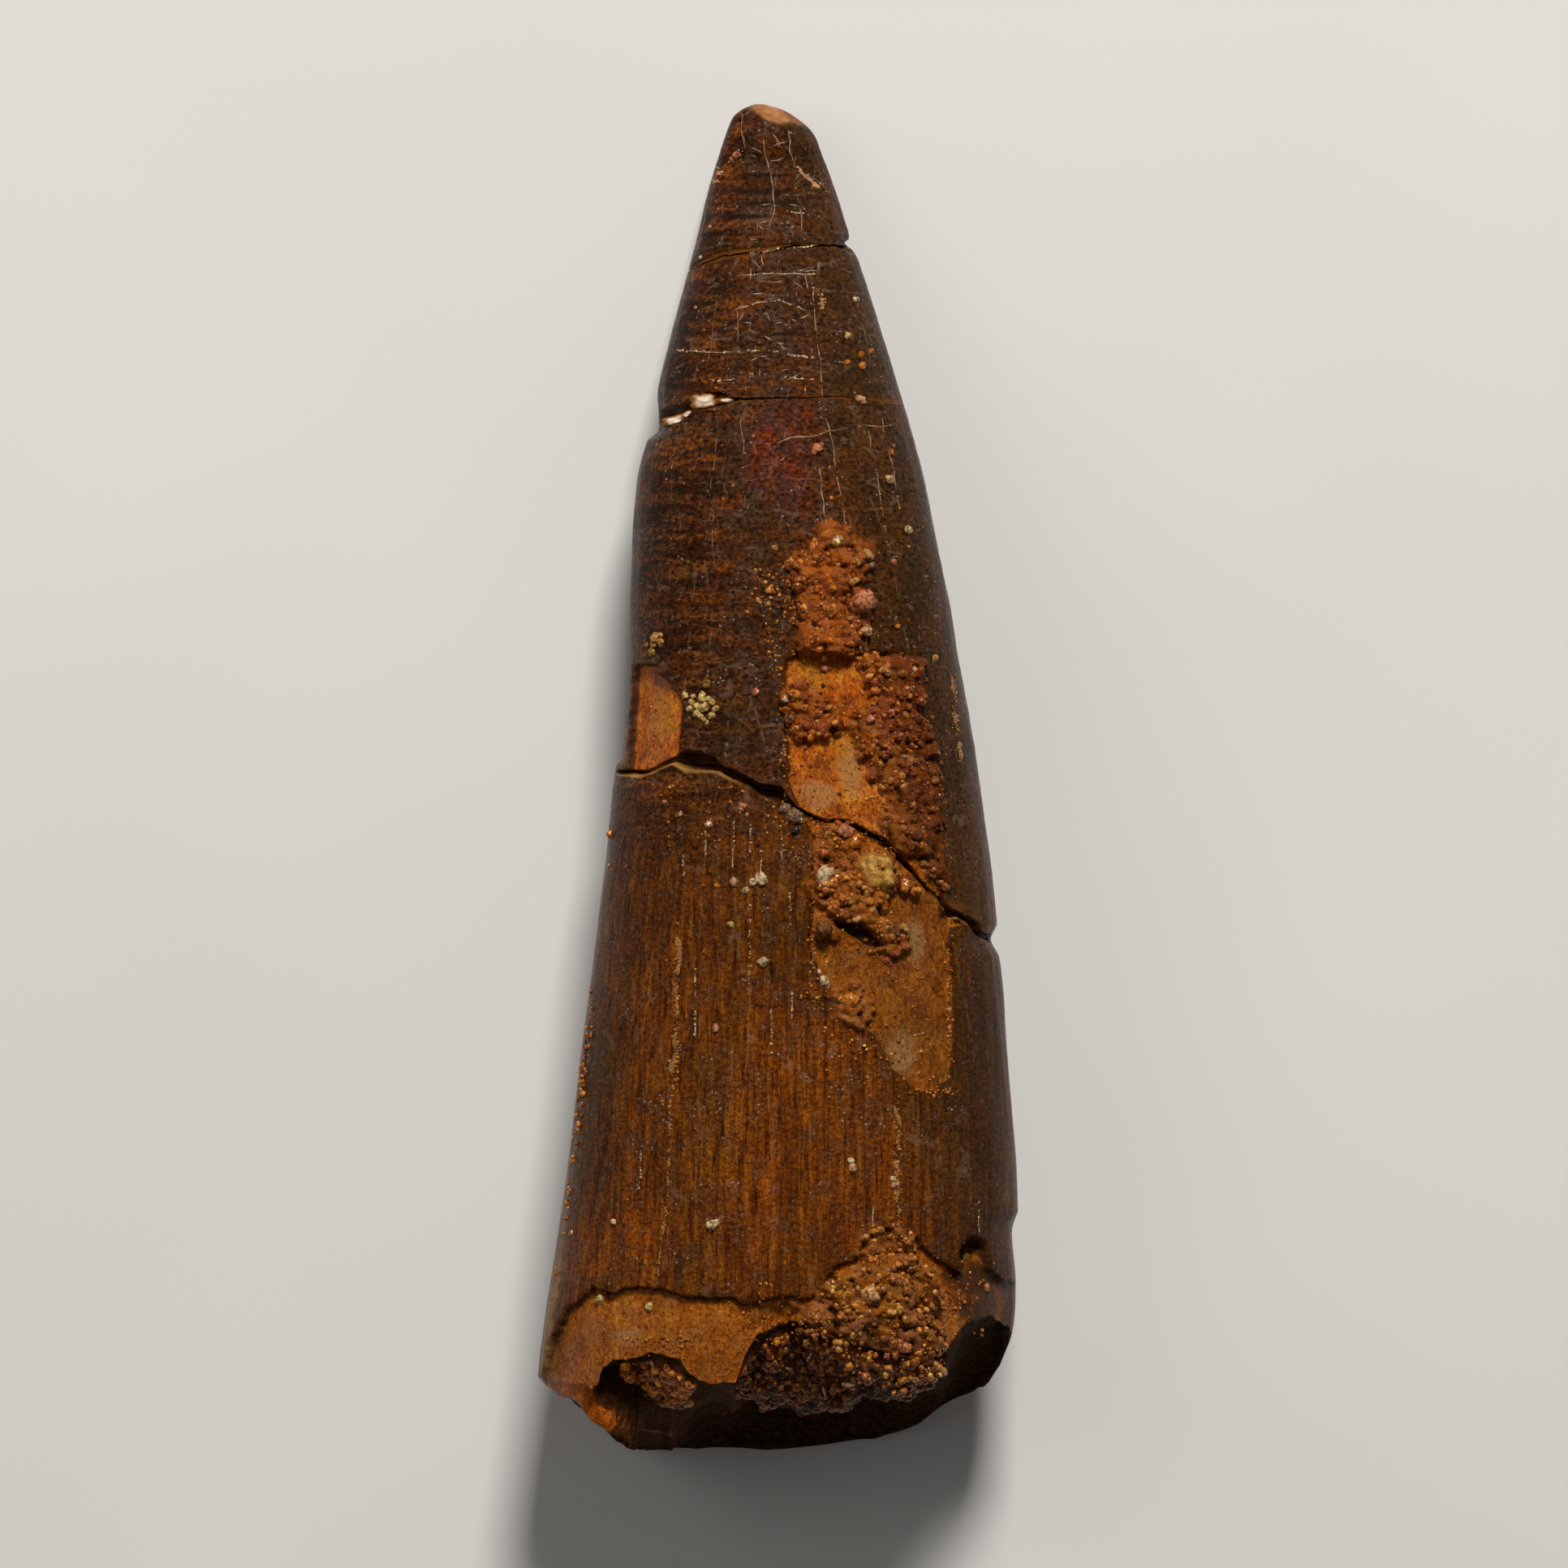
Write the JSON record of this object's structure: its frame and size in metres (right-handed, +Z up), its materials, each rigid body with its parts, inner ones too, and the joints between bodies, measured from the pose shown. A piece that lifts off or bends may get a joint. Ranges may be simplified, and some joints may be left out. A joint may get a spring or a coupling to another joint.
{
  "type": "fossil tooth",
  "caption": "Fossil theropod tooth crown, a long tapering brown cone in fitted fragments, lying on its back, with bare dentine, sand crusts and a sand-filled broken base.",
  "frame": {"origin": "under the middle of the tooth, on the surface that it lies on", "axes": "+Y along the tooth to its tip, +X to the right of the broad face, +Z up out of the broad face"},
  "size_m": [0.0283, 0.0797, 0.0211],
  "materials": {
    "upper_enamel": "satin",
    "lower_enamel": "satin",
    "sand": "matte",
    "filler": "matte"
  },
  "bodies": {
    "root": {"tip_fragment": "upper_enamel", "upper_fragment": "upper_enamel", "middle_fragment": "upper_enamel", "base_fragment": "lower_enamel", "cavity_sand": "sand", "break_filler": "filler"}
  },
  "joints": []
}
